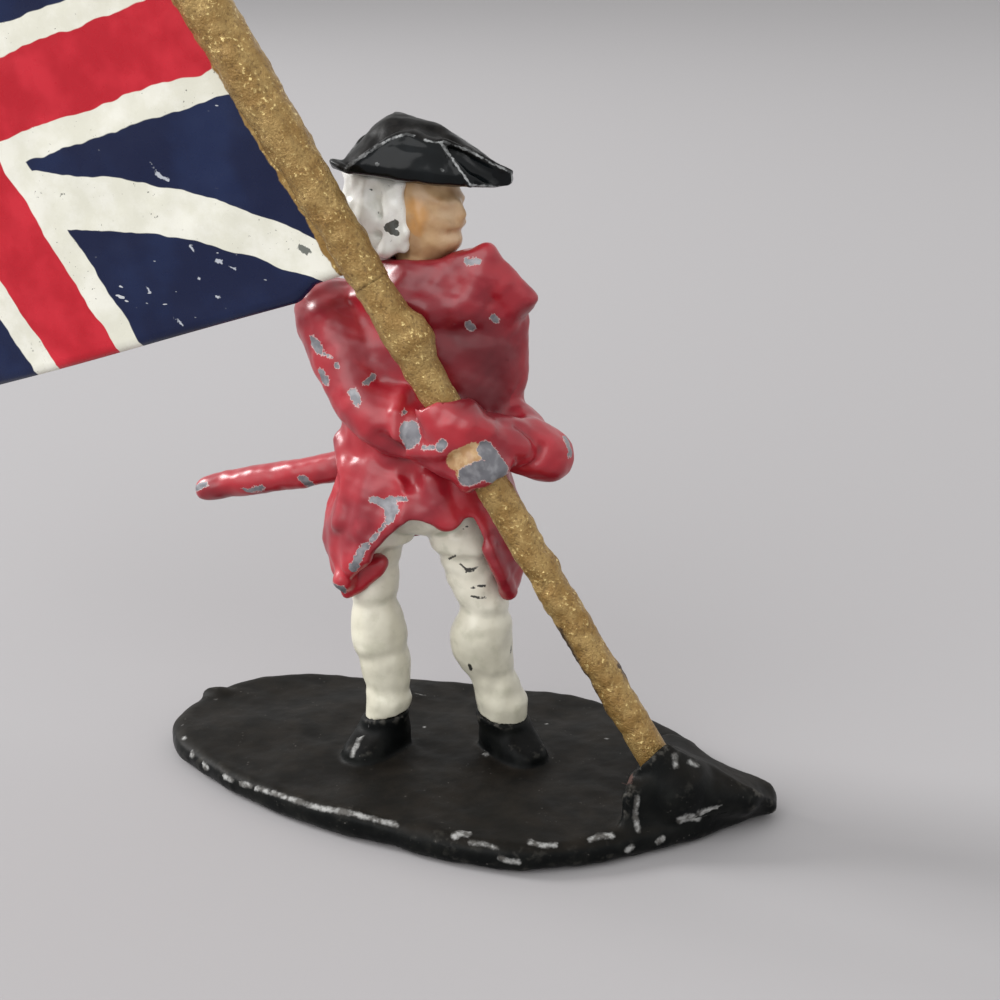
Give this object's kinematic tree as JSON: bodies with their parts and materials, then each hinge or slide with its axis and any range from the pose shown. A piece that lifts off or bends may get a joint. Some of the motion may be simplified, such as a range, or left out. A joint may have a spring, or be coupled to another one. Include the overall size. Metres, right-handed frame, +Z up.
{
  "type": "toy soldier figure",
  "caption": "Painted cast-metal toy soldier on a pointed oval base, holding a leaning flag pole that turns in the fists and in its socket.",
  "frame": {"origin": "on the underside of the base, under the middle of its length", "axes": "+Z up, +X along the base to its pointed tip, -Y to the side that the figure faces"},
  "size_m": [0.1118, 0.0316, 0.0977],
  "materials": {
    "base_black": "semi-gloss black paint, worn to grey metal along the edges",
    "shoe_black": "gloss black paint",
    "leg_cream": "glossy cream-white paint with fine dark cracks",
    "coat_red": "glossy crimson paint, chipped to grey metal",
    "face_tan": "satin tan paint",
    "wig_white": "gloss white paint with small chips",
    "hat_black": "gloss black paint with worn edges",
    "pole_gold": "lumpy glittering gold paint",
    "flag_colours": "gloss navy, white and red paint in the traditional union pattern"
  },
  "bodies": {
    "figure": {"base_plate": "base_black", "pole_rock": "base_black", "right_shoe": "shoe_black", "left_shoe": "shoe_black", "right_gaiter": "leg_cream", "left_gaiter": "leg_cream", "breeches": "leg_cream", "right_coat_skirt": "coat_red", "left_coat_skirt": "coat_red", "coat_body": "coat_red", "cape_collar": "coat_red", "right_sleeve": "coat_red", "left_sleeve": "coat_red", "right_hand": "face_tan", "left_hand": "coat_red", "head": "face_tan", "wig": "wig_white", "tricorne_hat": "hat_black", "scabbard": "coat_red"},
    "standard": {"flag_pole": "pole_gold", "flag": "flag_colours", "pole_finial": "pole_gold"}
  },
  "joints": [
    {"name": "standard_swivel", "type": "hinge", "parent": "figure", "child": "standard", "pos_m": [0.01932, -0.00506, 0.0074], "axis": [-0.5129, -0.048, 0.8571], "range_deg": [0, 90]}
  ]
}
